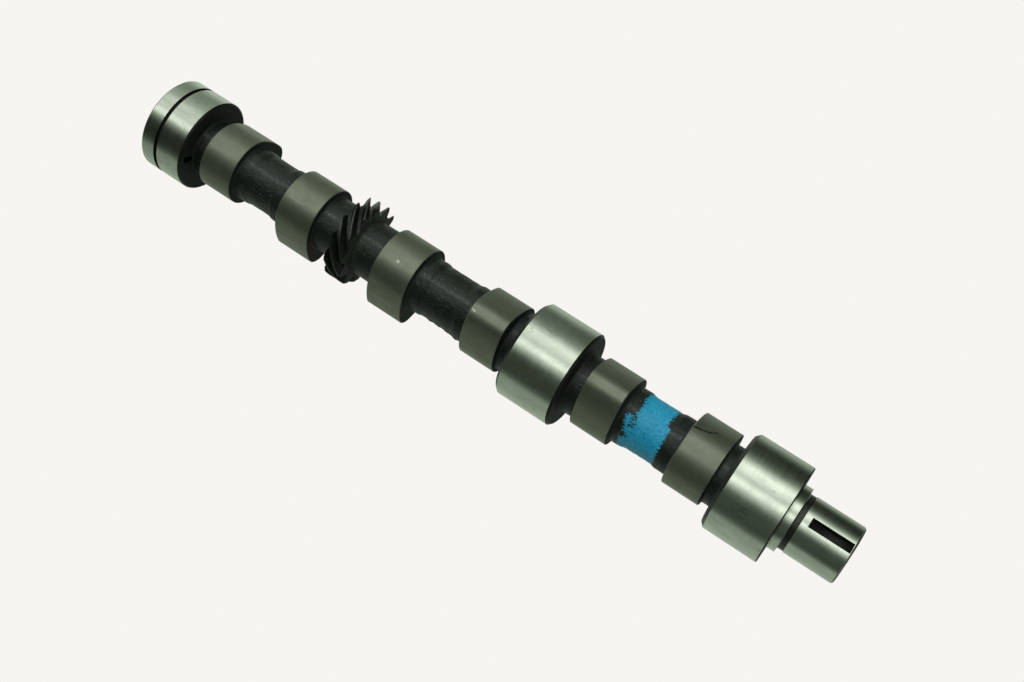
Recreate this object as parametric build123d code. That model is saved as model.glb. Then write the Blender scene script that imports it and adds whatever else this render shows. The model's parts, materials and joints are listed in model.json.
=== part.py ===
# A three-cylinder engine's camshaft, cast and ground in one piece, in millimetres.
# It stands on its flat rear end with its axis on Z, and its nose and key seat are at the top.
import os
from math import acos, atan2, cos, pi, radians, sin, sqrt, tan

from build123d import *

# Journals, from the rear end up. Each is a little larger, so the shaft slides in rear end first.
rear_journal_diameter = 50.6
centre_journal_diameter = 51.2
front_journal_diameter = 51.4
rear_journal_length = 26.3
centre_journal_length = 31.35
front_journal_length = 30.6
rear_journal_chamfer = 0.85
centre_journal_rear_chamfer = 1.6
centre_journal_front_chamfer = 1.2
front_journal_rear_chamfer = 1.6
front_journal_front_chamfer = 0.5

# Oil groove round the rear journal, and the drain drilled through that journal along the shaft.
oil_groove_start = 8.8
oil_groove_width = 2.2
oil_groove_depth = 1.2
drain_diameter = 2.4
drain_circle_radius = 17.2
drain_angle_from_key = 60.0

# Cams: a base circle, two flank arcs and a nose arc, each tangent to the next.
# The two beside the gear are wider.
cam_base_diameter = 36.7
cam_lift = 5.7
cam_nose_radius = 8.7
cam_half_action_angle = 64.5
cam_width = 20.1
gear_side_cam_width = 21.1
cam_core_diameter = 35.6
cylinder_phase = 120.0
cam_separation = 112.0

# Lengths between those features, from the rear end up.
rear_neck_length = 7.9
rear_shaft_length = 31.4
gear_rear_gap = 13.9
gear_front_gap = 15.0
middle_shaft_length = 35.7
centre_rear_neck_length = 6.45
centre_front_neck_length = 8.05
front_shaft_length = 31.9
front_neck_length = 5.55

# Cast shaft: a middle, a larger collar beside each cam, and a bevel where it meets a cam or journal.
shaft_diameter = 28.4
shaft_collar_diameter = 29.8
shaft_collar_length = 7.0
shaft_collar_slope_length = 1.2
rear_neck_diameter = 30.1
gear_neck_diameter = 29.9
neck_diameter = 32.0
cast_bevel = 1.0

# Skew gear that drives the distributor or oil pump shaft. Its teeth are thinner than its spaces.
gear_teeth = 12
gear_normal_module = 1.7
gear_helix_angle = 61.0
gear_pressure_angle = 20.0
gear_tooth_share = 0.375
gear_addendum = 1.65
gear_dedendum = 2.8
gear_length = 10.5
gear_bevel_height = 0.9
gear_bevel_length = 0.55
gear_crest_height = 4.3
gear_crest_angle_from_key = 19.5

# Nose: thrust collar, grinding relief, and the seat of the timing gear with its half-moon key seat.
thrust_collar_diameter = 34.0
thrust_collar_length = 4.2
relief_diameter = 29.1
relief_length = 3.25
nose_diameter = 30.0
nose_length = 25.85
nose_chamfer = 0.9
key_seat_width = 5.0
key_seat_cutter_diameter = 23.1
key_seat_depth = 7.2
key_seat_end_wall = 1.1

# Lathe centres in both ends.
centre_mouth_diameter = 8.0
centre_drill_diameter = 3.2
centre_drill_depth = 9.0
centre_cone_angle = 60.0

# Heights of the features above the rear end.
cam_1_start = rear_journal_length + rear_neck_length
cam_1_end = cam_1_start + cam_width
cam_2_start = cam_1_end + rear_shaft_length
cam_2_end = cam_2_start + gear_side_cam_width
gear_start = cam_2_end + gear_rear_gap
cam_3_start = gear_start + gear_length + gear_front_gap
cam_3_end = cam_3_start + gear_side_cam_width
cam_4_start = cam_3_end + middle_shaft_length
cam_4_end = cam_4_start + cam_width
centre_journal_start = cam_4_end + centre_rear_neck_length
centre_journal_end = centre_journal_start + centre_journal_length
cam_5_start = centre_journal_end + centre_front_neck_length
cam_5_end = cam_5_start + cam_width
cam_6_start = cam_5_end + front_shaft_length
cam_6_end = cam_6_start + cam_width
front_journal_start = cam_6_end + front_neck_length
thrust_face = front_journal_start + front_journal_length
gear_shoulder = thrust_face + thrust_collar_length
nose_start = gear_shoulder + relief_length
nose_end = nose_start + nose_length

# The key seat faces -Y, and angles from the key turn from there towards +X.
# Each cam is its rear and front faces' heights and the angle of its nose. A cylinder has two.
KEY_DIRECTION = -90.0
CAMS = [
    (cam_1_start, cam_1_end, 2 * cylinder_phase),
    (cam_2_start, cam_2_end, 2 * cylinder_phase - cam_separation),
    (cam_3_start, cam_3_end, cylinder_phase),
    (cam_4_start, cam_4_end, cylinder_phase - cam_separation),
    (cam_5_start, cam_5_end, 0.0),
    (cam_6_start, cam_6_end, -cam_separation),
]


def polar(radius, angle_degrees):
    return (radius * cos(radians(angle_degrees)), radius * sin(radians(angle_degrees)))


def journal_outline(start, length, diameter, rear_chamfer, front_chamfer):
    """Radius and height of a ground journal's corners, from its rear face up."""
    radius = diameter / 2
    end = start + length
    return [
        (radius - rear_chamfer, start),
        (radius, start + rear_chamfer),
        (radius, end - front_chamfer),
        (radius - front_chamfer, end),
    ]


def shaft_outline(start, end):
    """A cast stretch between two cams, with its collars."""
    collar = shaft_collar_diameter / 2
    middle = shaft_diameter / 2
    slope = shaft_collar_slope_length
    return [
        (collar, start),
        (collar, start + shaft_collar_length),
        (middle, start + shaft_collar_length + slope),
        (middle, end - shaft_collar_length - slope),
        (collar, end - shaft_collar_length),
        (collar, end),
    ]


def neck_outline(start, end, diameter):
    return [(diameter / 2, start), (diameter / 2, end)]


def core_outline(cam):
    """The shaft inside a cam, a little smaller than the cam's base circle."""
    start, end, _ = cam
    return [(cam_core_diameter / 2, start), (cam_core_diameter / 2, end)]


def nose_outline():
    """The thrust collar, the grinding relief and the nose, up to the axis."""
    return [
        (thrust_collar_diameter / 2, thrust_face),
        (thrust_collar_diameter / 2, gear_shoulder),
        (relief_diameter / 2, gear_shoulder),
        (relief_diameter / 2, nose_start),
        (nose_diameter / 2, nose_start),
        (nose_diameter / 2, nose_end - nose_chamfer),
        (nose_diameter / 2 - nose_chamfer, nose_end),
        (0, nose_end),
    ]


def turned_body():
    """Everything round on the shaft but the cams and the gear, as one turned solid."""
    rear_neck = neck_outline(rear_journal_length, cam_1_start, rear_neck_diameter)
    rear_shaft = shaft_outline(cam_1_end, cam_2_start)
    gear_neck = neck_outline(cam_2_end, cam_3_start, gear_neck_diameter)
    middle_shaft = shaft_outline(cam_3_end, cam_4_start)
    centre_rear_neck = neck_outline(cam_4_end, centre_journal_start, neck_diameter)
    centre_front_neck = neck_outline(centre_journal_end, cam_5_start, neck_diameter)
    front_shaft = shaft_outline(cam_5_end, cam_6_start)
    front_neck = neck_outline(cam_6_end, front_journal_start, neck_diameter)

    outline = [(0, 0)]
    outline += journal_outline(
        0,
        rear_journal_length,
        rear_journal_diameter,
        rear_journal_chamfer,
        rear_journal_chamfer,
    )
    outline += rear_neck + core_outline(CAMS[0])
    outline += rear_shaft + core_outline(CAMS[1])
    outline += gear_neck + core_outline(CAMS[2])
    outline += middle_shaft + core_outline(CAMS[3])
    outline += centre_rear_neck
    outline += journal_outline(
        centre_journal_start,
        centre_journal_length,
        centre_journal_diameter,
        centre_journal_rear_chamfer,
        centre_journal_front_chamfer,
    )
    outline += centre_front_neck + core_outline(CAMS[4])
    outline += front_shaft + core_outline(CAMS[5])
    outline += front_neck
    outline += journal_outline(
        front_journal_start,
        front_journal_length,
        front_journal_diameter,
        front_journal_rear_chamfer,
        front_journal_front_chamfer,
    )
    outline += nose_outline()
    section = make_face(Polyline(outline, close=True))

    stretches = [rear_neck, rear_shaft, gear_neck, middle_shaft]
    stretches += [centre_rear_neck, centre_front_neck, front_shaft, front_neck]
    corners = [stretch[0] for stretch in stretches] + [stretch[-1] for stretch in stretches]

    def is_cast_corner(vertex):
        return any(abs(vertex.X - radius) + abs(vertex.Y - height) < 1e-6 for radius, height in corners)

    section = chamfer(section.vertices().filter_by(is_cast_corner), cast_bevel)
    return revolve(Plane.XZ * section, axis=Axis.Z)


def cam_face():
    """The cam's outline about its own centre, with its nose on +X."""
    base = cam_base_diameter / 2
    nose = cam_nose_radius
    nose_centre = base + cam_lift - nose
    action = radians(cam_half_action_angle)
    flank = (base**2 - nose**2 + nose_centre**2 - 2 * nose_centre * base * cos(action)) / (
        2 * (base - nose - nose_centre * cos(action))
    )
    # The centre of the upper flank's arc lies below the axis, on the line through the flank's start.
    flank_x = -(flank - base) * cos(action)
    flank_y = -(flank - base) * sin(action)
    to_nose = atan2(-flank_y, nose_centre - flank_x)
    flank_end = (flank_x + flank * cos(to_nose), flank_y + flank * sin(to_nose))
    middle = (action + to_nose) / 2
    flank_middle = (flank_x + flank * cos(middle), flank_y + flank * sin(middle))
    flank_start = (base * cos(action), base * sin(action))

    def below(point):
        return (point[0], -point[1])

    outline = [
        ThreePointArc(flank_start, (-base, 0), below(flank_start)),
        ThreePointArc(below(flank_start), below(flank_middle), below(flank_end)),
        ThreePointArc(below(flank_end), (base + cam_lift, 0), flank_end),
        ThreePointArc(flank_end, flank_middle, flank_start),
    ]
    return make_face(Wire(outline))


def cams():
    face = cam_face()
    made = []
    for start, end, angle in CAMS:
        turned = Rot(0, 0, KEY_DIRECTION + angle) * face
        made.append(extrude(Pos(0, 0, start) * turned, amount=end - start, dir=(0, 0, 1)))
    return made


def gear_section():
    """The gear's teeth cut square across the shaft, with the flanks as arcs close to the involute."""
    helix = radians(gear_helix_angle)
    pitch = gear_teeth * gear_normal_module / cos(helix) / 2
    tip = pitch + gear_addendum
    root = pitch - gear_dedendum
    across_pressure = atan2(tan(radians(gear_pressure_angle)), cos(helix))
    base = pitch * cos(across_pressure)
    step = 2 * pi / gear_teeth
    half_tooth = step * gear_tooth_share / 2

    def flank_angle(radius):
        # Half the angle that a tooth fills at this radius, from the involute function.
        at_pitch = tan(across_pressure) - across_pressure
        here = acos(base / radius)
        return half_tooth + at_pitch - (tan(here) - here)

    def on(radius, angle):
        return (radius * cos(angle), radius * sin(angle))

    edges = []
    for tooth in range(gear_teeth):
        centre = tooth * step
        low = [on(radius, centre - flank_angle(radius)) for radius in (root, pitch, tip)]
        high = [on(radius, centre + flank_angle(radius)) for radius in (tip, pitch, root)]
        next_low = on(root, centre + step - flank_angle(root))
        edges.append(ThreePointArc(*low))
        edges.append(ThreePointArc(low[2], on(tip, centre), high[0]))
        edges.append(ThreePointArc(*high))
        edges.append(ThreePointArc(high[2], on(root, centre + step / 2), next_low))
    return make_face(Wire(edges)), pitch, tip


def gear():
    """Right-hand skew teeth, twisted along their lead, with both ends of the tips bevelled."""
    section, pitch, tip = gear_section()
    lead = 2 * pi * pitch / tan(radians(gear_helix_angle))
    crest_at_start = KEY_DIRECTION + gear_crest_angle_from_key - 360 * gear_crest_height / lead
    section = (Rot(0, 0, crest_at_start) * section).face()
    twist = 360 * gear_length / lead
    teeth = Solid.extrude_linear_with_rotation(section, (0, 0, 0), (0, 0, gear_length), twist)
    # The bevels are carried a little past the tips and the ends, so that no two surfaces coincide.
    past = 0.5
    slope = gear_bevel_height / gear_bevel_length
    low = tip - gear_bevel_height - past * slope
    high = tip + past * slope
    blank_outline = [
        (0, -past),
        (low, -past),
        (high, gear_bevel_length + past),
        (high, gear_length - gear_bevel_length - past),
        (low, gear_length + past),
        (0, gear_length + past),
    ]
    blank = revolve(make_face(Plane.XZ * Polyline(blank_outline, close=True)), axis=Axis.Z)
    return Pos(0, 0, gear_start) * (blank & teeth)


def oil_groove():
    outer = rear_journal_diameter / 2
    ring = Cylinder(outer + 1, oil_groove_width) - Cylinder(outer - oil_groove_depth, oil_groove_width)
    return Pos(0, 0, oil_groove_start + oil_groove_width / 2) * ring


def drain():
    x, y = polar(drain_circle_radius, KEY_DIRECTION + drain_angle_from_key)
    return Pos(x, y, rear_journal_length / 2) * Cylinder(drain_diameter / 2, rear_journal_length + 2)


def key_seat():
    """A half-moon seat cut by a wheel whose axle lies across the shaft."""
    cutter = key_seat_cutter_diameter / 2
    above = cutter - key_seat_depth
    half_length = sqrt(cutter**2 - above**2)
    height = nose_end - key_seat_end_wall - half_length
    wheel = Rot(0, 90, 0) * Cylinder(cutter, key_seat_width)
    return Pos(0, -(nose_diameter / 2 + above), height) * wheel


def lathe_centre():
    """The centre drilling's cone and pilot, from its mouth at Z = 0 down."""
    mouth = centre_mouth_diameter / 2
    pilot = centre_drill_diameter / 2
    cone_depth = (mouth - pilot) / tan(radians(centre_cone_angle / 2))
    outline = [
        (0, 0),
        (mouth, 0),
        (pilot, -cone_depth),
        (pilot, -centre_drill_depth),
        (0, -centre_drill_depth),
    ]
    return revolve(make_face(Plane.XZ * Polyline(outline, close=True)), axis=Axis.Z)


def camshaft():
    body = turned_body()
    for cam in cams():
        body += cam
    body += gear()
    for cut in (oil_groove(), drain(), key_seat()):
        body -= cut
    body -= Pos(0, 0, nose_end) * lathe_centre()
    body -= Rot(180, 0, 0) * lathe_centre()
    return body


os.makedirs("parts", exist_ok=True)
part = camshaft()
part.label = "camshaft"
export_step(part, "parts/camshaft.step")
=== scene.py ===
import json
from math import acos, asin, atan2, cos, pi, radians, sin, sqrt, tan

import bpy
import numpy as np
from mathutils import Matrix, Vector, noise


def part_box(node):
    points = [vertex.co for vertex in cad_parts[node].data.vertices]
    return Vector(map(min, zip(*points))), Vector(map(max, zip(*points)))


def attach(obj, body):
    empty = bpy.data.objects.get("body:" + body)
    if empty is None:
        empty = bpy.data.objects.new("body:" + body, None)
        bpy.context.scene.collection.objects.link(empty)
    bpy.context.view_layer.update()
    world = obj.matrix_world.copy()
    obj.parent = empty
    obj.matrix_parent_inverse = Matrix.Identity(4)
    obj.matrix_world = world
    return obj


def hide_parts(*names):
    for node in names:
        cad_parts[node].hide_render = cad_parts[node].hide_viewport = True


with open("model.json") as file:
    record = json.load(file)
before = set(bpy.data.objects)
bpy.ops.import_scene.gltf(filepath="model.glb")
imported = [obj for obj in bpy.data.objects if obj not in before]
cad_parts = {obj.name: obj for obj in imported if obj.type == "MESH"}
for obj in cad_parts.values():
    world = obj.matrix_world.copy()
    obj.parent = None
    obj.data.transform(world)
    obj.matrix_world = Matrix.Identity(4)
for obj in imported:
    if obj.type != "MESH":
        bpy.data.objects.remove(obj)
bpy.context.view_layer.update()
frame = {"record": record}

# The camshaft stands on its rear end, with +Z towards its nose. Sizes are in millimetres, with
# the part's own names, and the mesh is made in metres at the end.
MM = 0.001
mounts = {m["name"]: m for m in frame["record"]["mounts"]}

rear_journal_radius = mounts["rear_journal"]["dims"]["r_mm"]
centre_journal_radius = mounts["centre_journal"]["dims"]["r_mm"]
front_journal_radius = mounts["front_journal"]["dims"]["r_mm"]
nose_radius = mounts["nose"]["dims"]["r_mm"]
thrust_face = mounts["thrust_face"]["pos_m"][2] / MM
gear_shoulder = mounts["gear_shoulder"]["pos_m"][2] / MM
nose_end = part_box("camshaft")[1][2] / MM

rear_journal_length = 26.3
centre_journal_length = 31.35
rear_journal_chamfer = 0.85
centre_journal_rear_chamfer = 1.6
centre_journal_front_chamfer = 1.2
front_journal_rear_chamfer = 2.0
front_journal_front_chamfer = 0.5
oil_groove_start = 8.8
oil_groove_width = 2.2
oil_groove_depth = 1.2
drain_radius = 1.2
drain_circle_radius = 17.2
drain_angle_from_key = radians(60)
drain_rim = 0.1

cam_base_radius = 18.35
cam_lift = 5.7
cam_nose_radius = 8.7
cam_half_action = radians(64.5)
cam_width = 20.1
gear_side_cam_width = 21.1
cam_edge_break = 0.25
cylinder_phase = radians(120)
cam_separation = radians(112)

rear_neck_length = 7.9
rear_shaft_length = 31.4
gear_rear_gap = 13.9
gear_front_gap = 15.0
middle_shaft_length = 35.7
centre_rear_neck_length = 6.45
centre_front_neck_length = 8.05
front_shaft_length = 31.9
front_neck_length = 5.55

shaft_radius = 14.2
shaft_collar_radius = 14.9
shaft_collar_length = 7.0
shaft_collar_slope = 1.2
shaft_collar_blend = 0.7
rear_neck_radius = 15.05
gear_neck_radius = 14.95
neck_radius = 16.0
cast_fillet = 1.1
rear_neck_fillet = 0.9

gear_teeth = 12
gear_normal_module = 1.7
gear_helix = radians(61)
gear_pressure = radians(20)
gear_tooth_share = 0.375
gear_addendum = 1.65
gear_dedendum = 2.8
gear_length = 10.5
gear_bevel_height = 0.9
gear_bevel_length = 0.55
gear_crest_height = 4.3
gear_crest_angle_from_key = radians(19.5)

thrust_collar_radius = 17.0
relief_radius = 14.55
relief_length = 3.25
relief_corner = 0.5
relief_mark = 1.4
nose_chamfer = 0.9
key_seat_half_width = 2.5
key_seat_cutter_radius = 11.55
key_seat_depth = 7.2
key_seat_end_wall = 1.1
centre_mouth_radius = 4.0
centre_drill_radius = 1.6
centre_drill_depth = 9.0
centre_drill_tip_radius = 0.02 * centre_drill_radius
centre_cone_depth = (centre_mouth_radius - centre_drill_radius) / tan(radians(30))

# Heights above the rear end. A cam is its two faces' heights and its nose's angle from the key.
cam_1 = rear_journal_length + rear_neck_length
cam_2 = cam_1 + cam_width + rear_shaft_length
gear_start = cam_2 + gear_side_cam_width + gear_rear_gap
gear_end = gear_start + gear_length
cam_3 = gear_end + gear_front_gap
cam_4 = cam_3 + gear_side_cam_width + middle_shaft_length
centre_journal = cam_4 + cam_width + centre_rear_neck_length
centre_journal_end = centre_journal + centre_journal_length
cam_5 = centre_journal_end + centre_front_neck_length
cam_6 = cam_5 + cam_width + front_shaft_length
front_journal = cam_6 + cam_width + front_neck_length
nose_start = gear_shoulder + relief_length
CAM_1 = (cam_1, cam_1 + cam_width, 2 * cylinder_phase)
CAM_2 = (cam_2, cam_2 + gear_side_cam_width, 2 * cylinder_phase - cam_separation)
CAM_3 = (cam_3, cam_3 + gear_side_cam_width, cylinder_phase)
CAM_4 = (cam_4, cam_4 + cam_width, cylinder_phase - cam_separation)
CAM_5 = (cam_5, cam_5 + cam_width, 0.0)
CAM_6 = (cam_6, cam_6 + cam_width, -cam_separation)

# The key seat faces -Y, and angles from it turn towards +X.
KEY = radians(-90)

# The gear's tooth in its transverse section.
gear_pitch_radius = gear_teeth * gear_normal_module / cos(gear_helix) / 2
gear_tip_radius = gear_pitch_radius + gear_addendum
gear_root_radius = gear_pitch_radius - gear_dedendum
gear_lead = 2 * pi * gear_pitch_radius / tan(gear_helix)
gear_across_pressure = atan2(tan(gear_pressure), cos(gear_helix))
tooth_step = 2 * pi / gear_teeth

# The key seat's cutter: how far its axis lies outside the nose, and the seat's length and middle.
key_seat_cutter_out = key_seat_cutter_radius - key_seat_depth
key_seat_half_length = sqrt(key_seat_cutter_radius**2 - key_seat_cutter_out**2)
key_seat_middle = nose_end - key_seat_end_wall - key_seat_half_length

# How finely the mesh is laid: the distance between rings, and how many rings or columns there are.
cast_step = 1.0
cam_step = 4.0
journal_step = 3.5
rear_land_step = 2.6
collar_step = 2.0
FILLET_RINGS = 3
CAST_FACE_RINGS = 2
TURNED_FACE_RINGS = 3
NOSE_FACE_RINGS = 4
GEAR_RINGS = 21
GEAR_BEVEL_RINGS = 2
KEY_SEAT_HALF_ROWS = 8
DRAIN_HALF_COLUMNS = 4
FLANK_ROWS = 6
TIP_COLUMNS = 4
GAP_COLUMNS = 6
PER_TOOTH = TIP_COLUMNS + GAP_COLUMNS + 2 * (FLANK_ROWS - 1)
COLUMNS = gear_teeth * PER_TOOTH
# The columns follow the teeth from this far below the gear to this far above it.
tooth_margin = 1.0
# Heights this close are the same.
CLOSE = 0.01

# How rough the casting is, as a share of its full waves.
SHAFT_ROUGH = 1.0
NECK_ROUGH = 0.7
FILLET_ROUGH = 0.5
# Its waves: how many go into a millimetre, where their noise is read, and how high they are.
CASTING_WAVES = [(0.11, (0, 0, 0), 0.26), (0.45, (7, 3, 11), 0.13), (1.3, (31, 17, 5), 0.07)]
# The ragged flash along one side of the middle shaft, and how steeply it ends across and along.
flash_angle_from_key = radians(100)
flash_half_angle = radians(9)
flash_middle = 189.0
flash_half_length = 11.0
flash_rise = 0.5
FLASH_EVEN_PART = 0.5
FLASH_SIDE_SLOPE = 1.5
FLASH_END_SLOPE = 3.0

# Edges that turn more than this are sharp, and the rest of the mesh is smooth.
sharp_edge_angle = radians(32)

# The strips' finishes, in the order of the mesh's material slots.
FINISHES = ["ground", "cam", "edge", "cast", "face", "gear", "gear face painted lighter", "crest", "groove",
            "key", "turned"]
KIND = {name: slot for slot, name in enumerate(FINISHES)}
# The dark machined ones: material's name, darker colour, how metallic it is, and roughness.
DARK_FINISHES = {
    "edge": ("bare_edge", (0.24, 0.26, 0.22), 0.6, 0.4),
    # The gear's front face is painted lighter than the rest of the gear, as light for a face the
    # studio lights only dimly.
    "gear face painted lighter": ("gear_face_painted_lighter", (0.06, 0.072, 0.056), 0.0, 0.6),
    "crest": ("gear_crest", (0.05, 0.058, 0.048), 0.6, 0.35),
    "groove": ("groove_floor", (0.02, 0.022, 0.019), 0.5, 0.5),
    "key": ("key_seat_floor", (0.03, 0.033, 0.029), 0.5, 0.5),
    "turned": ("turned_edge", (0.05, 0.055, 0.048), 0.9, 0.45),
}
# Their paler colour is this many times the darker one.
PALER = 1.8

# The other colours.
STEEL_DULL, STEEL_BRIGHT = (0.52, 0.56, 0.485), (0.65, 0.695, 0.6)
STEEL_SCUFF = (0.43, 0.46, 0.41)
SATIN_DARK, SATIN_PALE = (0.2, 0.224, 0.168), (0.26, 0.286, 0.216)
SATIN_LINE = (0.62, 0.65, 0.56)
SATIN_SEAM = (0.03, 0.035, 0.028)
SATIN_CHIP = (0.6, 0.62, 0.56)
SKIN_DARK, SKIN_MIDDLE = (0.009, 0.0145, 0.010), (0.018, 0.027, 0.020)
SKIN_PALE = (0.06, 0.075, 0.062)
# Painted light: the skin beside the gear's front is lightened to this, over the shade the gear
# casts there.
SKIN_PAINTED_LIGHT_BESIDE_GEAR = (0.055, 0.068, 0.053)
# Painted highlight: the pale line below the key seat.
SKIN_HIGHLIGHT_LINE = (0.08, 0.095, 0.08)
SKIN_CHIP = (0.42, 0.45, 0.42)
BLUE_DARK, BLUE_MIDDLE = (0.015, 0.42, 0.88), (0.03, 0.58, 1.0)
BLUE_PALE = (0.06, 0.68, 1.0)
FACE_DARK, FACE_PALE = (0.019, 0.027, 0.021), (0.03, 0.041, 0.032)
COAT_DARK, COAT_PALE = (0.022, 0.026, 0.021), (0.045, 0.052, 0.043)
BLACK = (0.0, 0.0, 0.0)

# The blue band's edges and how far it fades in, by degrees from the key seat, as shares of the
# stretch from paint_low to paint_high.
paint_low, paint_high = 288.0, 318.0
PAINT_START = [(-180, 0.23), (-60, 0.22), (-32, 0.21), (-8, 0.24), (5, 0.22), (12, 0.09),
               (26, 0.08), (34, 0.14), (75, 0.15), (180, 0.23)]
PAINT_FADE = [(-180, 0.08), (0, 0.08), (12, 0.12), (60, 0.12), (75, 0.08), (180, 0.08)]
PAINT_END = [(-180, 0.8), (-50, 0.82), (-8, 0.8), (-3, 0.88), (75, 0.88), (180, 0.8)]
PAINT_END_FADE = 0.09
# How fully the paint covers its middle, and how much of it is missed at the thin places.
PAINT_COVER = 1.08
PAINT_MISSED = 0.6

# Spots, each as its place and its size. Thin places in the paint:
THIN_PAINT = [((3.4, -14.2, 296.0), 2.4), ((6.6, -13.0, 296.4), 2.6), ((11.4, -9.1, 295.8), 2.2)]
# painted shade: a ragged black patch in the drain's chipped mouth, on the front of the rear
# journal:
DRAIN_MOUTH_PAINTED_SHADE = [((14.2, -9.2, 26.3), 2.0), ((15.2, -10.2, 26.3), 2.2), ((16.4, -11.4, 26.3), 2.0)]
# and bright chips on the third and fourth cams.
FLECKS = [((2.2, -18.2, 156.6), 0.8), ((2.5, -18.1, 157.2), 0.7), ((3.5, -23.75, 204.2), 0.5),
          ((3.7, -23.75, 204.8), 0.6), ((3.9, -23.7, 205.5), 0.6)]

# The dark seam on the last cam, as heights and its angles from the key seat in degrees.
SEAM = [(320.3, -24.8), (322.2, -26.3), (326.6, -29.7), (329.8, -34.1), (332.8, -44.0)]
seam_half_angle = radians(2.2)
# No point of the seam lies further than this from the key seat, in degrees.
SEAM_REACH = 60
SEAM_WAVER = 0.16
# It fades in from its start, and fades out to a little past its end.
seam_start_fade = 0.5
seam_end_fade = 1.5
seam_overrun = 0.3

# Faint pale lines along the second and third cams, each as its two heights, its angle from the
# key seat in degrees and its half width in radians.
CAM_LINES = [(86.6, 101.5, 91.0, 0.045), (148.0, 163.5, 84.5, 0.045), (87.4, 98.5, 13.2, 0.022)]
LINE_WAVER = 0.03
LINE_STRENGTH = 0.22
line_fade = 2.0

# The cast skin's painted highlight, a faint pale line below the key seat: the angles from it where
# the line begins and where it is full, in radians.
key_highlight_line_edges = (0.11, 0.02)
# Painted light over the shade beside the gear's front: how far it reaches, how far it is full, and
# how much.
painted_light_reach = 5.0
painted_light_full = 1.0
PAINTED_LIGHT_SHARE = 0.8

# The camera stands where the photograph's does, with its long lens and its roll. Angles are in
# degrees, and its focal length is in the photograph's pixels.
camera_azimuth = -76.6
camera_distance = 609.7
camera_height = 385.7
camera_target = (0.62, 0.15, 222.5)
camera_roll = 122.74
sensor_width = 36.0
focal_pixels = 1284.7
image_width = 1024

# Studio light as bands round the shaft. Each is its angle in degrees from the camera towards the
# top of the picture, and the brightness there for the nose end and for the rear end.
LIGHT_BANDS = [
    (-180, 0.55, 0.5), (-140, 0.5, 0.46), (-115, 0.42, 0.36), (-94, 0.39, 0.32),
    (-84, 0.4, 0.3), (-76, 0.14, 0.11), (-64, 0.065, 0.04), (-50, 0.085, 0.028),
    (-30, 0.09, 0.03), (-18, 0.155, 0.045), (-4, 0.86, 0.4), (4, 1.72, 1.4),
    (12, 1.42, 1.5), (19, 0.66, 0.78), (26, 1.1, 1.1), (35, 1.47, 0.72),
    (45, 1.72, 0.95), (54, 0.84, 0.74), (62, 0.31, 0.55), (72, 0.11, 0.49),
    (84, 0.045, 0.38), (108, 0.03, 0.28), (122, 0.13, 0.45), (140, 0.42, 0.7),
    (180, 0.55, 0.5),
]
BRIGHT_TINT = (0.96, 1.0, 0.94)
DARK_TINT = (0.8, 1.0, 0.77)
# Light from above is dimmer. Slopes are the upward part of a direction of length one.
LEVEL_SLOPE, HIGH_SLOPE = 0.08, 0.35
OVERHEAD_SHARE = 0.3
# The bands that show on the shaft lie at these slopes at its nose end and at its rear end.
NOSE_END_SLOPE, REAR_END_SLOPE = -0.04, -0.52

# The backdrop and the floor.
PALE = (0.922, 0.909, 0.873)
floor_radius = 3000.0
FLOOR_CORNERS = 96


def tooth_half_angle(radius):
    """Half the angle that a tooth fills at this radius, from the involute."""
    at_pitch = tan(gear_across_pressure) - gear_across_pressure
    here = acos(gear_pitch_radius * cos(gear_across_pressure) / radius)
    return tooth_step * gear_tooth_share / 2 + at_pitch - (tan(here) - here)


def tooth_columns():
    """Angle from the tooth's middle, and radius, of each column over one tooth and its gap."""
    tip = tooth_half_angle(gear_tip_radius)
    root = tooth_half_angle(gear_root_radius)
    gap = tooth_step - 2 * root
    flank = [gear_tip_radius + (gear_root_radius - gear_tip_radius) * k / FLANK_ROWS
             for k in range(1, FLANK_ROWS)]
    offsets = [-tip, -tip / 3, tip / 3, tip]
    offsets += [tooth_half_angle(r) for r in flank]
    offsets += [root + gap * k / (GAP_COLUMNS - 1) for k in range(GAP_COLUMNS)]
    offsets += [tooth_step - tooth_half_angle(r) for r in reversed(flank)]
    radii = [gear_tip_radius] * TIP_COLUMNS + flank
    radii += [gear_root_radius] * GAP_COLUMNS + flank[::-1]
    return np.array(offsets), np.array(radii)


OFFSETS, TOOTH_RADII = tooth_columns()
teeth_angles = np.concatenate([OFFSETS + k * tooth_step for k in range(gear_teeth)])
teeth_radii = np.tile(TOOTH_RADII, gear_teeth)
even_angles = OFFSETS[0] + np.arange(COLUMNS) * 2 * pi / COLUMNS


def crest_angle(height):
    """Angle of the first tooth's crest at this height, held still below and above the teeth."""
    reach = min(max(height - gear_start, 0), gear_length)
    return KEY + gear_crest_angle_from_key + 2 * pi * (reach - gear_crest_height) / gear_lead


def ease(x):
    """Smooth step from nought at nought to one at one."""
    x = min(max(x, 0), 1)
    return x * x * (3 - 2 * x)


def half_turn(angles):
    """The same angles between minus and plus half a turn."""
    return (angles + pi) % (2 * pi) - pi


def key_angles():
    """Even columns, with two of them moved onto the key seat's edges."""
    angles = even_angles + crest_angle(nose_start)
    edge = asin(key_seat_half_width / nose_radius)
    turn = half_turn(angles - KEY)
    moved = []
    for side in (-edge, edge):
        nearest = int(np.argmin(np.abs(turn - side)))
        angles[nearest] += side - turn[nearest]
        moved.append(nearest)
    return angles, moved


def drain_columns():
    """The columns that pass round the drain."""
    turn = half_turn(even_angles + crest_angle(0) - KEY - drain_angle_from_key)
    nearest = int(np.argmin(np.abs(turn)))
    return list(range(nearest - DRAIN_HALF_COLUMNS, nearest + DRAIN_HALF_COLUMNS + 1))


KEY_ANGLES, KEY_COLUMNS = key_angles()
DRAIN_COLUMNS = drain_columns()


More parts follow.
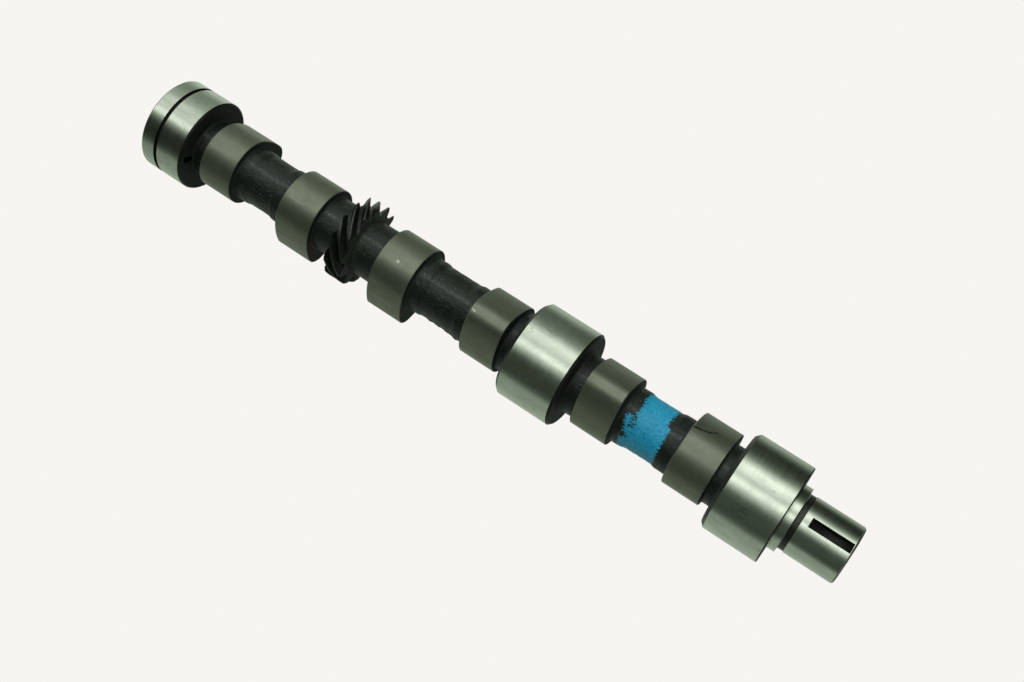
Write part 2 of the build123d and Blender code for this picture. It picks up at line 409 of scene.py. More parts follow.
def columns(height):
    """Angles of the points of the ring at this height: along the teeth in the gear, else even."""
    if height >= nose_start - CLOSE:
        return KEY_ANGLES
    rear = ease((height - (gear_start - gear_rear_gap)) / (gear_rear_gap - tooth_margin))
    front = ease((height - (gear_end + tooth_margin)) / (gear_front_gap - tooth_margin))
    toothed = rear * (1 - front)
    return crest_angle(height) + toothed * teeth_angles + (1 - toothed) * even_angles


# Each ring is its height, its points' radii, the finish of the strip below it, and how rough
# its casting is.
rings = []


def ring(height, radius, finish, rough=0.0):
    """Lay a ring, with one radius or with a radius for each column."""
    rings.append((height, np.full(COLUMNS, 1.0) * radius, finish, rough))


def stretch(start, end, radius_start, radius_end, finish, spacing, rough=0.0):
    """Rings from just past start up to end. The last of them lies on the end and isn't rough."""
    count = max(1, round((end - start) / spacing))
    for k in range(1, count + 1):
        share = k / count
        ring(start + (end - start) * share, radius_start + (radius_end - radius_start) * share,
             finish, rough if k < count else 0.0)


def wall(height, radius_from, radius_to, finish, count):
    """Rings on a flat face across the shaft, at one height."""
    for k in range(1, count + 1):
        share = k / count
        ring(height, radius_from * (1 - share) + radius_to * share, finish)


def cam_radius(turn):
    """Distance from the axis to the cam's edge at angles from its nose."""
    base, tip = cam_base_radius, cam_nose_radius
    middle = base + cam_lift - tip
    flank = (base**2 - tip**2 + middle**2 - 2 * middle * base * cos(cam_half_action)) / (
        2 * (base - tip - middle * cos(cam_half_action)))
    fx = -(flank - base) * cos(cam_half_action)
    fy = -(flank - base) * sin(cam_half_action)
    to_tip = atan2(-fy, middle - fx)
    tip_turn = atan2(fy + flank * sin(to_tip), fx + flank * cos(to_tip))
    turn = np.abs(half_turn(turn))
    tip_reach = np.sqrt(np.maximum(tip**2 - (middle * np.sin(turn)) ** 2, 0))
    on_tip = middle * np.cos(turn) + tip_reach
    along = fx * np.cos(turn) + fy * np.sin(turn)
    on_flank = along + np.sqrt(np.maximum(along**2 - (fx**2 + fy**2 - flank**2), 0))
    return np.where(turn > cam_half_action, base, np.where(turn < tip_turn, on_tip, on_flank))


def fillet_up(height, radius):
    """A cast fillet from a shaft of this radius into the face at this height, from the rear."""
    for k in range(1, FILLET_RINGS + 1):
        a = k * pi / 2 / FILLET_RINGS
        ring(height - cast_fillet * (1 - sin(a)), radius + cast_fillet * (1 - cos(a)), "face",
             FILLET_ROUGH if k < FILLET_RINGS else 0)


def fillet_down(height, radius, size=cast_fillet):
    """The same fillet on the front side of a face, whose last ring is already laid."""
    for k in range(1, FILLET_RINGS + 1):
        a = (FILLET_RINGS - k) * pi / 2 / FILLET_RINGS
        ring(height + size * (1 - sin(a)), radius + size * (1 - cos(a)), "face", FILLET_ROUGH)


def cam(faces_and_nose, neck_before, neck_after):
    """One cam, with its faces, from the fillet before it to the fillet after it."""
    start, end, nose_angle = faces_and_nose
    e = cam_edge_break

    def edge(height):
        return cam_radius(columns(height) - KEY - nose_angle)

    low, high = edge(start), edge(end)
    fillet_up(start, neck_before)
    wall(start, neck_before + cast_fillet, low - e, "face", CAST_FACE_RINGS)
    ring(start + e, low, "edge")
    stretch(start + e, end - e, low, high, "cam", cam_step)
    ring(end, high - e, "edge")
    wall(end, high - e, neck_after + cast_fillet, "face", CAST_FACE_RINGS)
    fillet_down(end, neck_after)


def cast_shaft(start, end):
    """A rough stretch between two cams, which swells softly into a larger collar at each end."""
    low, high = start + cast_fillet, end - cast_fillet
    count = round((high - low) / cast_step)
    for k in range(1, count + 1):
        height = low + (high - low) * k / count
        inside = min(height - start, end - height) - shaft_collar_length + shaft_collar_blend
        swell = 1 - ease(inside / (shaft_collar_slope + 2 * shaft_collar_blend))
        ring(height, shaft_radius + (shaft_collar_radius - shaft_radius) * swell, "cast",
             SHAFT_ROUGH if k < count else 0.0)


def neck(start, end, radius, fillet_before=cast_fillet, fillet_after=cast_fillet):
    """A short rough stretch between the fillets of two faces."""
    stretch(start + fillet_before, end - fillet_after, radius, radius, "cast", cast_step,
            NECK_ROUGH)


def lathe_centre(face_height, into, finish, closing):
    """The centre drilling's rings, from its tip out, or reversed when they close the shaft."""
    bottom = face_height + into * centre_drill_depth
    cone = face_height + into * centre_cone_depth
    made = [(bottom, centre_drill_tip_radius), (bottom, centre_drill_radius),
            (cone, centre_drill_radius), (face_height, centre_mouth_radius)]
    for height, radius in made[-2::-1] if closing else made:
        ring(height, radius, finish)


def journal(start, length, radius, rear_chamfer, front_chamfer):
    """A ground journal with dark turned chamfers, up to its front face."""
    end = start + length
    fillet_up(start, neck_radius)
    wall(start, neck_radius + cast_fillet, radius - rear_chamfer, "face", CAST_FACE_RINGS)
    ring(start + rear_chamfer, radius, "turned")
    stretch(start + rear_chamfer, end - front_chamfer, radius, radius, "ground", journal_step)
    ring(end, radius - front_chamfer, "turned")


def drain_face(radius_from, radius_to, finish, height):
    """Rings across a face of the rear journal. Gives the first of the four round the drain."""
    near = [rear_neck_radius + rear_neck_fillet, drain_circle_radius - drain_radius / 3,
            drain_circle_radius + drain_radius / 3,
            drain_circle_radius + drain_radius + drain_rim]
    if radius_from > radius_to:
        near = near[::-1]
    wall(height, radius_from, near[0], finish, TURNED_FACE_RINGS)
    first = len(rings) - 1
    for radius in near[1:]:
        ring(height, radius, finish)
    if radius_to != near[-1]:
        wall(height, near[-1], radius_to, finish, TURNED_FACE_RINGS)
    return first


def rear_journal():
    """The rear journal with its lathe centre and oil groove. Gives the drain's end rings."""
    radius = rear_journal_radius
    length = rear_journal_length
    chamfer = rear_journal_chamfer
    floor = radius - oil_groove_depth
    groove_end = oil_groove_start + oil_groove_width
    lathe_centre(0, 1, "turned", closing=False)
    drain_rear = drain_face(centre_mouth_radius, radius - chamfer, "turned", 0)
    ring(chamfer, radius, "groove")
    stretch(chamfer, oil_groove_start, radius, radius, "ground", rear_land_step)
    ring(oil_groove_start, floor, "groove")
    ring(groove_end, floor, "groove")
    ring(groove_end, radius, "groove")
    stretch(groove_end, length - chamfer, radius, radius, "ground", journal_step)
    ring(length, radius - chamfer, "turned")
    drain_front = drain_face(radius - chamfer, rear_neck_radius + rear_neck_fillet, "face", length)
    fillet_down(length, rear_neck_radius, rear_neck_fillet)
    return drain_rear, drain_front


def gear():
    """Teeth that follow the helix on a plain disc with bevelled tips, from neck to neck."""
    bevel = gear_tip_radius - gear_bevel_height
    grade = gear_bevel_height / gear_bevel_length
    end_radii = np.minimum(teeth_radii, bevel)
    stops = (0, gear_bevel_length, gear_length - gear_bevel_length, gear_length)
    counts = (GEAR_BEVEL_RINGS, GEAR_RINGS, GEAR_BEVEL_RINGS)
    wall(gear_start, gear_neck_radius, end_radii, "gear", TURNED_FACE_RINGS)
    for low, high, count in zip(stops, stops[1:], counts):
        for up in np.linspace(low, high, count + 1)[1:]:
            blank = bevel + grade * min(up, gear_length - up)
            ring(gear_start + up, np.minimum(teeth_radii, blank), "gear")
    # The front face is painted lighter, against the dim light that it gets.
    wall(gear_end, end_radii, gear_neck_radius, "gear face painted lighter", TURNED_FACE_RINGS)


def nose():
    """The relief groove, the ground nose and its lathe centre. Gives the key seat's first ring."""
    ring(gear_shoulder, relief_radius + relief_corner, "turned")
    ring(gear_shoulder + relief_corner, relief_radius, "ground")
    ring(gear_shoulder + relief_mark, relief_radius, "turned")
    ring(gear_shoulder + relief_mark + relief_corner, relief_radius, "crest")
    ring(nose_start, relief_radius, "turned")
    ring(nose_start, nose_radius, "turned")
    key_seat_start = len(rings)
    for k in range(-KEY_SEAT_HALF_ROWS, KEY_SEAT_HALF_ROWS + 1):
        along = sin(pi / 2 * k / KEY_SEAT_HALF_ROWS)
        ring(key_seat_middle + key_seat_half_length * along, nose_radius, "ground")
    ring(nose_end - nose_chamfer, nose_radius, "ground")
    ring(nose_end, nose_radius - nose_chamfer, "ground")
    wall(nose_end, nose_radius - nose_chamfer, centre_mouth_radius, "ground", NOSE_FACE_RINGS)
    lathe_centre(nose_end, -1, "ground", closing=True)
    return key_seat_start


def lay_rings():
    """The whole shaft, from the rear end up. Gives the drain's end rings and the key seat's."""
    drain_ends = rear_journal()
    neck(rear_journal_length, CAM_1[0], rear_neck_radius)
    cam(CAM_1, rear_neck_radius, shaft_collar_radius)
    cast_shaft(CAM_1[1], CAM_2[0])
    cam(CAM_2, shaft_collar_radius, gear_neck_radius)
    neck(CAM_2[1], gear_start, gear_neck_radius, fillet_after=0)
    gear()
    neck(gear_end, CAM_3[0], gear_neck_radius, fillet_before=0)
    cam(CAM_3, gear_neck_radius, shaft_collar_radius)
    cast_shaft(CAM_3[1], CAM_4[0])
    cam(CAM_4, shaft_collar_radius, neck_radius)
    neck(CAM_4[1], centre_journal, neck_radius)
    journal(centre_journal, centre_journal_length, centre_journal_radius,
            centre_journal_rear_chamfer, centre_journal_front_chamfer)
    wall(centre_journal_end, centre_journal_radius - centre_journal_front_chamfer,
         neck_radius + cast_fillet, "face", CAST_FACE_RINGS)
    fillet_down(centre_journal_end, neck_radius)
    neck(centre_journal_end, CAM_5[0], neck_radius)
    cam(CAM_5, neck_radius, shaft_collar_radius)
    cast_shaft(CAM_5[1], CAM_6[0])
    cam(CAM_6, shaft_collar_radius, neck_radius)
    neck(CAM_6[1], front_journal, neck_radius)
    journal(front_journal, thrust_face - front_journal, front_journal_radius,
            front_journal_rear_chamfer, front_journal_front_chamfer)
    wall(thrust_face, front_journal_radius - front_journal_front_chamfer, thrust_collar_radius,
         "turned", TURNED_FACE_RINGS)
    stretch(thrust_face, gear_shoulder, thrust_collar_radius, thrust_collar_radius, "ground",
            collar_step)
    return drain_ends, nose()


def casting_noise(point):
    """How far the cast skin stands out here: slow waves, a finer grain and a ragged flash."""
    waves = [noise.noise(Vector(point) * per_mm + Vector(shift))
             for per_mm, shift, _ in CASTING_WAVES]
    skin = sum(rise * wave for (_, _, rise), wave in zip(CASTING_WAVES, waves))
    x, y, height = point
    aside = abs(atan2(y, x) - KEY - flash_angle_from_key) / flash_half_angle
    along = abs(height - flash_middle) / flash_half_length
    flash = flash_rise * (FLASH_EVEN_PART + max(waves[1], 0) + waves[2])
    flash *= ease(FLASH_SIDE_SLOPE - FLASH_SIDE_SLOPE * aside)
    return skin + flash * ease(FLASH_END_SLOPE - FLASH_END_SLOPE * along)


def ring_points():
    """The points of all the rings, pushed out where the casting is rough."""
    points = []
    for height, radii, _, rough in rings:
        for radius, angle in zip(radii, columns(height)):
            x, y = radius * cos(angle), radius * sin(angle)
            if rough:
                out = rough * casting_noise((x, y, height))
                x += out * cos(angle)
                y += out * sin(angle)
            points.append((x, y, height))
    return points


def strip_faces(drain_ends, key_seat_start):
    """Quads between the rings, with holes for the drain and key seat, and the closed ends."""
    faces, kinds = [], []
    left, right = KEY_COLUMNS
    seated = range(key_seat_start, key_seat_start + 2 * KEY_SEAT_HALF_ROWS)
    drained = {first + k for first in drain_ends for k in (0, 1, 2)}
    for k in range(len(rings) - 1):
        toothed = rings[k][0] > gear_start and rings[k + 1][0] < gear_end
        for j in range(COLUMNS):
            if k in seated and left <= j < right:
                continue
            if k in drained and DRAIN_COLUMNS[0] <= j < DRAIN_COLUMNS[-1]:
                continue
            n = (j + 1) % COLUMNS
            a, b = k * COLUMNS, (k + 1) * COLUMNS
            faces.append((a + j, a + n, b + n, b + j))
            finish = rings[k + 1][2]
            if finish == "gear" and toothed and j % PER_TOOTH < TIP_COLUMNS - 1:
                finish = "crest"
            kinds.append(KIND[finish])
    faces.append(tuple(range(COLUMNS))[::-1])
    kinds.append(KIND["turned"])
    last = (len(rings) - 1) * COLUMNS
    faces.append(tuple(range(last, last + COLUMNS)))
    kinds.append(KIND["ground"])
    return faces, kinds


def bore_drain(points, faces, kinds, drain_ends):
    """A round tube between the two holes left in the rings, and the flat rims at its mouths."""
    turn = KEY + drain_angle_from_key
    middle = Vector((drain_circle_radius * cos(turn), drain_circle_radius * sin(turn), 0))
    mouths = []
    for first, order, finish in zip(drain_ends, (1, -1), ("turned", "face")):
        rows = [(first + k) * COLUMNS for k in range(4)][::order]
        loop = [rows[0] + c for c in DRAIN_COLUMNS]
        loop += [row + DRAIN_COLUMNS[-1] for row in rows[1:]]
        loop += [rows[3] + c for c in DRAIN_COLUMNS[-2::-1]]
        loop += [row + DRAIN_COLUMNS[0] for row in rows[2:0:-1]]
        rim = []
        for corner in loop:
            x, y, z = points[corner]
            out = (Vector((x, y, 0)) - middle).normalized() * drain_radius
            rim.append(len(points))
            points.append((middle.x + out.x, middle.y + out.y, z))
        for k in range(len(loop)):
            n = (k + 1) % len(loop)
            faces.append((loop[k], loop[n], rim[n], rim[k])[::order])
            kinds.append(KIND[finish])
        mouths.append(rim)
    low, high = mouths
    for k in range(len(low)):
        n = (k + 1) % len(low)
        faces.append((low[k], low[n], high[n], high[k]))
        kinds.append(KIND["groove"])


def key_seat_faces(points, faces, kinds, first):
    """The key seat's side walls and round floor, and the slivers between its ends and the nose."""
    last = first + 2 * KEY_SEAT_HALF_ROWS
    sides = ((-1, KEY_COLUMNS[0]), (1, KEY_COLUMNS[1]))
    floor = {}
    for row in range(first + 1, last):
        height = rings[row][0]
        reach = sqrt(max(key_seat_cutter_radius**2 - (height - key_seat_middle) ** 2, 0))
        depth = nose_radius + key_seat_cutter_out - reach
        for side, _ in sides:
            floor[row, side] = len(points)
            points.append((side * key_seat_half_width, -depth, height))
    for row in (first, last):
        for side, column in sides:
            floor[row, side] = row * COLUMNS + column
    for row in range(first, last):
        for side, column in sides:
            edge = row * COLUMNS + column
            loop = (edge, edge + COLUMNS, floor[row + 1, side], floor[row, side])
            faces.append(tuple(dict.fromkeys(loop))[::side])
        faces.append((floor[row, 1], floor[row + 1, 1], floor[row + 1, -1], floor[row, -1]))
    for row, order in ((first, 1), (last, -1)):
        sliver = [row * COLUMNS + j for j in range(KEY_COLUMNS[0], KEY_COLUMNS[1] + 1)]
        faces.append(tuple(sliver[::order]))
    kinds += [KIND["key"]] * (len(faces) - len(kinds))


def node(tree, kind, **values):
    """A new node. A value goes to the input of its name, or else to the attribute."""
    made = tree.nodes.new(kind)
    for name, value in values.items():
        if name in made.inputs:
            made.inputs[name].default_value = value
        else:
            setattr(made, name, value)
    return made


def material(name, metallic=0.0, roughness=0.5):
    """A new material, with its node tree and its shader."""
    made = bpy.data.materials.new(name)
    made.use_nodes = True
    tree = made.node_tree
    shader = tree.nodes["Principled BSDF"]
    shader.inputs["Metallic"].default_value = metallic
    shader.inputs["Roughness"].default_value = roughness
    return made, tree, shader


def noise_map(tree, waves, detail=3.0, rough=0.5):
    """Noise between nought and one, with so many waves to a metre along each axis."""
    coords = node(tree, "ShaderNodeTexCoord")
    mapping = node(tree, "ShaderNodeMapping", Scale=waves)
    tree.links.new(coords.outputs["Object"], mapping.inputs["Vector"])
    made = node(tree, "ShaderNodeTexNoise", Scale=1.0, Detail=detail, Roughness=rough)
    tree.links.new(mapping.outputs["Vector"], made.inputs["Vector"])
    return made.outputs["Fac"]


def ramp(tree, value, stops):
    """Colours, or plain numbers as greys, by places between nought and one."""
    made = node(tree, "ShaderNodeValToRGB")
    tree.links.new(value, made.inputs["Fac"])
    elements = made.color_ramp.elements
    while len(elements) < len(stops):
        elements.new(0.5)
    for element, (place, colour) in zip(elements, stops):
        element.position = place
        element.color = (*colour, 1) if isinstance(colour, tuple) else (colour, colour, colour, 1)
    return made.outputs["Color"]


def map_range(tree, value, from_min, from_max, to_min=0.0, to_max=1.0):
    made = node(tree, "ShaderNodeMapRange")
    tree.links.new(value, made.inputs["Value"])
    for name, number in (("From Min", from_min), ("From Max", from_max),
                         ("To Min", to_min), ("To Max", to_max)):
        made.inputs[name].default_value = number
    return made.outputs["Result"]


def calc(tree, operation, first, second=0.0):
    """One operation on numbers or on other nodes' outputs."""
    made = node(tree, "ShaderNodeMath", operation=operation)
    for socket, value in enumerate((first, second)):
        if isinstance(value, (int, float)):
            made.inputs[socket].default_value = value
        else:
            tree.links.new(value, made.inputs[socket])
    return made.outputs["Value"]


def mixed(tree, factor, first, second):
    """A blend of two colours. The mix node has them at inputs 6 and 7, and at output 2."""
    made = node(tree, "ShaderNodeMix", data_type="RGBA")
    tree.links.new(factor, made.inputs["Factor"])
    for socket, value in ((6, first), (7, second)):
        if isinstance(value, tuple):
            made.inputs[socket].default_value = (*value, 1)
        else:
            tree.links.new(value, made.inputs[socket])
    return made.outputs[2]


def bump(tree, shader, height, strength, distance):
    made = node(tree, "ShaderNodeBump", Strength=strength, Distance=distance)
    tree.links.new(height, made.inputs["Height"])
    tree.links.new(made.outputs["Normal"], shader.inputs["Normal"])


def height_and_angle(tree):
    """Height in millimetres, and the angle from the key seat towards +X in radians."""
    coords = node(tree, "ShaderNodeTexCoord")
    split = node(tree, "ShaderNodeSeparateXYZ")
    tree.links.new(coords.outputs["Object"], split.inputs["Vector"])
    height = calc(tree, "DIVIDE", split.outputs["Z"], MM)
    toward_key = calc(tree, "MULTIPLY", split.outputs["Y"], -1)
    return height, calc(tree, "ARCTAN2", split.outputs["X"], toward_key)


def by_angle(tree, angle, stops):
    """A value that changes round the shaft, from its values at degrees from the key seat."""
    place = map_range(tree, angle, -pi, pi)
    return ramp(tree, place, [((turn + 180) / 360, value) for turn, value in stops])


def near_spots(tree, spots):
    """One within half of each spot's size of its place, falling to nought at its size."""
    coords = node(tree, "ShaderNodeTexCoord")
    total = 0.0
    for place, size in spots:
        apart = node(tree, "ShaderNodeVectorMath", operation="DISTANCE")
        tree.links.new(coords.outputs["Object"], apart.inputs[0])
        apart.inputs[1].default_value = tuple(c * MM for c in place)
        near = map_range(tree, apart.outputs["Value"], size * MM, size * MM * 0.5)
        total = calc(tree, "MAXIMUM", total, near)
    return total


def ground_steel():
    """Ground iron: bright, with fine lines round the shaft, an uneven sheen and faint scuffs."""
    made, tree, shader = material("ground_steel", metallic=1.0)
    blotches = noise_map(tree, (170, 170, 90), detail=6.0, rough=0.62)
    steel = ramp(tree, blotches, [(0.3, STEEL_DULL), (0.7, STEEL_BRIGHT)])
    # A scuff is the thin line along which a slow noise has its middle value.
    from_middle = calc(tree, "SUBTRACT", noise_map(tree, (420, 420, 75), detail=1.0), 0.5)
    lines = map_range(tree, calc(tree, "ABSOLUTE", from_middle), 0.02, 0.004)
    patches = map_range(tree, noise_map(tree, (75, 75, 75), detail=1.0), 0.55, 0.62)
    scuffs = calc(tree, "MULTIPLY", lines, patches)
    tree.links.new(mixed(tree, scuffs, steel, STEEL_SCUFF), shader.inputs["Base Color"])
    sheen = ramp(tree, noise_map(tree, (40, 40, 900)), [(0.3, 0.17), (0.7, 0.25)])
    tree.links.new(sheen, shader.inputs["Roughness"])
    grinding = noise_map(tree, (25, 25, 5200), detail=2.0)
    waves = calc(tree, "MULTIPLY", noise_map(tree, (90, 90, 110), detail=2.0), 8.0)
    bump(tree, shader, calc(tree, "ADD", grinding, waves), strength=0.25, distance=0.00002)
    return made


def seam_mask(tree):
    """One on the thin dark seam that slants across the last cam."""
    height, angle = height_and_angle(tree)
    low, high = SEAM[0][0], SEAM[-1][0]
    place = map_range(tree, height, low, high)
    share = ramp(tree, place, [((h - low) / (high - low), -turn / SEAM_REACH) for h, turn in SEAM])
    off_seam = calc(tree, "ADD", angle, calc(tree, "MULTIPLY", share, radians(SEAM_REACH)))
    ragged = calc(tree, "SUBTRACT", noise_map(tree, (500, 500, 500)), 0.5)
    aside = calc(tree, "ADD", off_seam, calc(tree, "MULTIPLY", ragged, SEAM_WAVER))
    line = map_range(tree, calc(tree, "ABSOLUTE", aside), seam_half_angle, seam_half_angle * 0.3)
    begun = map_range(tree, height, low, low + seam_start_fade)
    going_on = map_range(tree, height, high + seam_overrun, high - seam_end_fade)
    return calc(tree, "MULTIPLY", line, calc(tree, "MULTIPLY", begun, going_on))


def line_mask(tree):
    """Part of one on the faint pale lines along the second and third cams."""
    height, angle = height_and_angle(tree)
    waver = calc(tree, "MULTIPLY", noise_map(tree, (300, 300, 300), detail=2.0), LINE_WAVER)
    wavering = calc(tree, "ADD", angle, waver)
    total = 0.0
    for low, high, turn, wide in CAM_LINES:
        off = calc(tree, "SUBTRACT", wavering, radians(turn) + LINE_WAVER / 2)
        line = map_range(tree, calc(tree, "ABSOLUTE", off), wide, wide / 3)
        begun = map_range(tree, height, low, low + line_fade)
        going_on = map_range(tree, height, high, high - line_fade)
        along = calc(tree, "MULTIPLY", begun, going_on)
        total = calc(tree, "MAXIMUM", total, calc(tree, "MULTIPLY", line, along))
    return calc(tree, "MULTIPLY", total, LINE_STRENGTH)


def cam_satin():
    """Phosphated cam surface: satin olive grey, with pale lines, a dark seam and bright chips."""
    made, tree, shader = material("cam_satin", metallic=0.62, roughness=0.37)
    mottle = noise_map(tree, (190, 190, 110), detail=6.0, rough=0.65)
    satin = ramp(tree, mottle, [(0.3, SATIN_DARK), (0.7, SATIN_PALE)])
    lined = mixed(tree, line_mask(tree), satin, SATIN_LINE)
    seamed = mixed(tree, seam_mask(tree), lined, SATIN_SEAM)
    chipped = mixed(tree, near_spots(tree, FLECKS), seamed, SATIN_CHIP)
    tree.links.new(chipped, shader.inputs["Base Color"])
    grain = noise_map(tree, (1500, 1500, 3000), detail=2.0)
    bump(tree, shader, grain, strength=0.2, distance=0.00003)
    return made


def paint_mask(tree):
    """One where the sprayed blue band covers the shaft, with speckled edges and missed specks."""
    height, angle = height_and_angle(tree)
    share = map_range(tree, height, paint_low, paint_high)
    into_start = calc(tree, "SUBTRACT", share, by_angle(tree, angle, PAINT_START))
    from_start = calc(tree, "DIVIDE", into_start, by_angle(tree, angle, PAINT_FADE))
    into_end = calc(tree, "SUBTRACT", by_angle(tree, angle, PAINT_END), share)
    from_end = calc(tree, "DIVIDE", into_end, PAINT_END_FADE)
    cover = calc(tree, "MINIMUM", calc(tree, "MINIMUM", from_start, from_end), 1.0)
    cover = calc(tree, "MULTIPLY", calc(tree, "MAXIMUM", cover, 0.0), PAINT_COVER)
    missed = calc(tree, "MULTIPLY", near_spots(tree, THIN_PAINT), PAINT_MISSED)
    held = calc(tree, "SUBTRACT", cover, missed)
    fine = noise_map(tree, (1300, 1300, 1300), detail=2.0, rough=0.6)
    specks = map_range(tree, fine, 0.28, 0.72)
    return ramp(tree, calc(tree, "SUBTRACT", held, specks), [(0.0, 0.0), (0.04, 1.0)])


def cast_skin():
    """Near-black oily cast skin with pale specks, and the sprayed blue band.

    It is paler along a faint line below the key seat, a painted highlight, and beside the front of
    the gear, painted light over the shade that the gear casts.
    """
    made, tree, shader = material("cast_skin", roughness=0.44)
    height, angle = height_and_angle(tree)
    grain = noise_map(tree, (900, 900, 900), detail=4.0, rough=0.6)
    skin = ramp(tree, grain, [(0.35, SKIN_DARK), (0.6, SKIN_MIDDLE), (0.72, SKIN_PALE)])
    # Painted light: the skin just past the gear's front is lightened, over the shade that the gear
    # casts there.
    past_gear = map_range(tree, height, gear_end - CLOSE, gear_end)
    painted_light_near_gear = map_range(tree, height, gear_end + painted_light_reach, gear_end + painted_light_full, 0.0,
                          PAINTED_LIGHT_SHARE)
    painted_light_beside_gear = calc(tree, "MULTIPLY", past_gear, painted_light_near_gear)
    skin = mixed(tree, painted_light_beside_gear, skin, SKIN_PAINTED_LIGHT_BESIDE_GEAR)
    # Painted highlight: a pale speckled line along the skin below the key seat.
    near_highlight_line = map_range(tree, calc(tree, "ABSOLUTE", angle), *key_highlight_line_edges)
    line = calc(tree, "MULTIPLY", near_highlight_line, map_range(tree, grain, 0.36, 0.5))
    skin = mixed(tree, line, skin, SKIN_HIGHLIGHT_LINE)
    chips = ramp(tree, noise_map(tree, (620, 620, 620), detail=1.0), [(0.765, 0.0), (0.79, 1.0)])
    chipped = mixed(tree, chips, skin, SKIN_CHIP)
    tint = noise_map(tree, (900, 900, 900))
    blue = ramp(tree, tint, [(0.34, BLUE_DARK), (0.5, BLUE_MIDDLE), (0.7, BLUE_PALE)])
    painted = mixed(tree, paint_mask(tree), chipped, blue)
    tree.links.new(painted, shader.inputs["Base Color"])
    pits = noise_map(tree, (1000, 1000, 1000), detail=2.0)
    bump(tree, shader, pits, strength=0.9, distance=0.0003)
    return made


def cast_face():
    """The dark faces beside the cams and journals, with painted shade as a ragged black patch at
    the drain's mouth.
    """
    made, tree, shader = material("cast_face", roughness=0.62)
    grain = noise_map(tree, (700, 700, 700))
    skin = ramp(tree, grain, [(0.35, FACE_DARK), (0.7, FACE_PALE)])
    uneven = noise_map(tree, (900, 900, 900), detail=2.0)
    # Painted shade: a ragged patch, black and without shine, in the drain's chipped mouth.
    ragged = calc(tree, "ADD", near_spots(tree, DRAIN_MOUTH_PAINTED_SHADE), uneven)
    painted_shade = map_range(tree, ragged, 0.8, 0.9)
    tree.links.new(mixed(tree, painted_shade, skin, BLACK), shader.inputs["Base Color"])
    painted_shade_dull = map_range(tree, painted_shade, 0.0, 1.0, 0.5, 0.0)
    tree.links.new(painted_shade_dull, shader.inputs["Specular IOR Level"])
    return made


def gear_finish():
    """Hobbed teeth under the same dark coat as the casting, but smoother."""
    made, tree, shader = material("gear_finish", metallic=0.4, roughness=0.4)
    grain = noise_map(tree, (600, 600, 600), detail=4.0)
    coat = ramp(tree, grain, [(0.35, COAT_DARK), (0.7, COAT_PALE)])
    tree.links.new(coat, shader.inputs["Base Color"])
    bump(tree, shader, grain, strength=0.3, distance=0.00012)
    return made


def dark_finish(name, colour, metallic, roughness):
    """A machined surface that is oily and dark, with faint turning lines of a paler colour."""
    made, tree, shader = material(name, metallic, roughness)
    grain = noise_map(tree, (700, 700, 1800))
    pale = tuple(PALER * c for c in colour)
    tree.links.new(ramp(tree, grain, [(0.35, colour), (0.7, pale)]), shader.inputs["Base Color"])
    return made


def build_camshaft():
    """The whole camshaft as one closed mesh that rides the body root."""
    drain_ends, key_seat_start = lay_rings()
    points = ring_points()
    faces, kinds = strip_faces(drain_ends, key_seat_start)
    bore_drain(points, faces, kinds, drain_ends)
    key_seat_faces(points, faces, kinds, key_seat_start)
    mesh = bpy.data.meshes.new("camshaft_body")
    mesh.from_pydata([(x * MM, y * MM, z * MM) for x, y, z in points], [], faces)
    looks = {"ground": ground_steel(), "cam": cam_satin(), "cast": cast_skin(),
             "face": cast_face(), "gear": gear_finish()}
    for finish, look in DARK_FINISHES.items():
        looks[finish] = dark_finish(*look)
    for finish in FINISHES:
        mesh.materials.append(looks[finish])
    mesh.polygons.foreach_set("material_index", kinds)
    mesh.polygons.foreach_set("use_smooth", [True] * len(faces))
    mesh.update()
    mesh.set_sharp_from_angle(angle=sharp_edge_angle)
    piece = bpy.data.objects.new("camshaft_body", mesh)
    bpy.context.scene.collection.objects.link(piece)
    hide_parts("camshaft")
    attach(piece, "root")


def aim_camera():
    """Aim at the target from the camera's place, then roll the picture about the line of sight."""
    data = bpy.data.cameras.new("camera")
    data.sensor_width = sensor_width
    data.lens = focal_pixels / image_width * sensor_width
    camera = bpy.data.objects.new("camera", data)
    bpy.context.scene.collection.objects.link(camera)
    azimuth = radians(camera_azimuth)
    place = Vector((camera_distance * cos(azimuth), camera_distance * sin(azimuth),
                    camera_height)) * MM
    forward = (Vector(camera_target) * MM - place).normalized()
    level = forward.cross(Vector((0, 0, 1))).normalized()
    upright = level.cross(forward)
    roll = radians(camera_roll)
    right = level * cos(roll) + upright * sin(roll)
    up = right.cross(forward)
    turned = Matrix((right, up, -forward)).transposed()
    camera.matrix_world = Matrix.Translation(place) @ turned.to_4x4()
    bpy.context.scene.camera = camera


def band_colour(brightness, brightest):
    """A band's colour, as a share of the brightest. The dim bands are greener."""
    share = min(brightness, 1)
    return tuple(brightness / brightest * (dark + (bright - dark) * share)
                 for dark, bright in zip(DARK_TINT, BRIGHT_TINT))


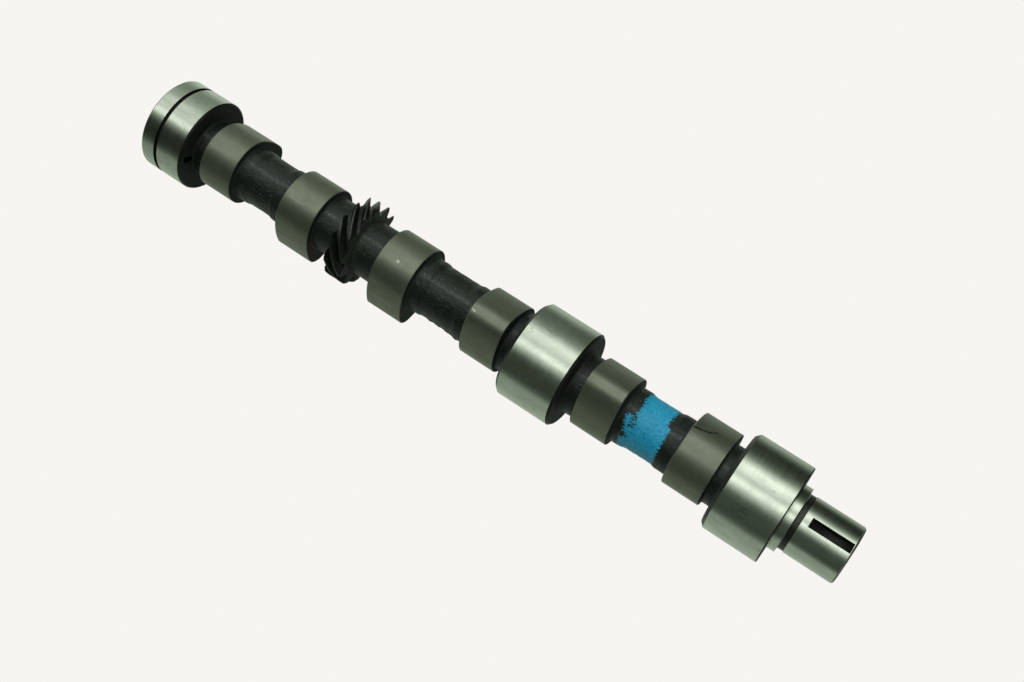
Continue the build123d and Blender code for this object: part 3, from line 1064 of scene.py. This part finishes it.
def light_studio():
    """A soft world of light and dark bands round the shaft, plain and pale to the camera."""
    world = bpy.data.worlds.new("studio")
    bpy.context.scene.world = world
    world.use_nodes = True
    tree = world.node_tree
    background = tree.nodes["Background"]
    azimuth = radians(camera_azimuth)
    to_camera = (cos(azimuth), sin(azimuth), 0)
    to_picture_top = (sin(azimuth), -cos(azimuth), 0)
    coords = node(tree, "ShaderNodeTexCoord")
    parts = []
    for direction in (to_picture_top, to_camera, (0, 0, 1)):
        dot = node(tree, "ShaderNodeVectorMath", operation="DOT_PRODUCT")
        tree.links.new(coords.outputs["Generated"], dot.inputs[0])
        dot.inputs[1].default_value = direction
        parts.append(dot.outputs["Value"])
    across, toward, slope = parts
    place = map_range(tree, calc(tree, "ARCTAN2", across, toward), -pi, pi)
    brightest = max(max(at_nose, at_rear) for _, at_nose, at_rear in LIGHT_BANDS)
    nose_bands, rear_bands = (
        ramp(tree, place, [((band[0] + 180) / 360, band_colour(band[end], brightest))
                           for band in LIGHT_BANDS])
        for end in (1, 2))
    toward_rear = map_range(tree, slope, NOSE_END_SLOPE, REAR_END_SLOPE)
    bands = mixed(tree, toward_rear, nose_bands, rear_bands)
    strength = map_range(tree, slope, LEVEL_SLOPE, HIGH_SLOPE, brightest,
                         brightest * OVERHEAD_SHARE)
    tree.links.new(bands, background.inputs["Color"])
    tree.links.new(strength, background.inputs["Strength"])
    plain = node(tree, "ShaderNodeBackground", Color=(*PALE, 1), Strength=1.0)
    path = node(tree, "ShaderNodeLightPath")
    mix = node(tree, "ShaderNodeMixShader")
    tree.links.new(path.outputs["Is Camera Ray"], mix.inputs["Fac"])
    tree.links.new(background.outputs["Background"], mix.inputs[1])
    tree.links.new(plain.outputs["Background"], mix.inputs[2])
    tree.links.new(mix.outputs["Shader"], tree.nodes["World Output"].inputs["Surface"])


def lay_floor():
    """A plain pale floor under the rear end, which glows to look as even as the photograph's."""
    made, tree, shader = material("pale_floor", roughness=1.0)
    shader.inputs["Base Color"].default_value = (*BLACK, 1)
    shader.inputs["Specular IOR Level"].default_value = 0.0
    shader.inputs["Emission Color"].default_value = (*PALE, 1)
    shader.inputs["Emission Strength"].default_value = 1.0
    bpy.ops.mesh.primitive_circle_add(vertices=FLOOR_CORNERS, radius=floor_radius * MM,
                                      fill_type="NGON", location=(0, 0, 0))
    floor = bpy.context.object
    floor.name = "floor"
    floor.data.materials.append(made)
    floor.visible_glossy = False
    floor.visible_diffuse = False


build_camshaft()
aim_camera()
light_studio()
lay_floor()
bpy.context.scene.view_settings.view_transform = "Standard"
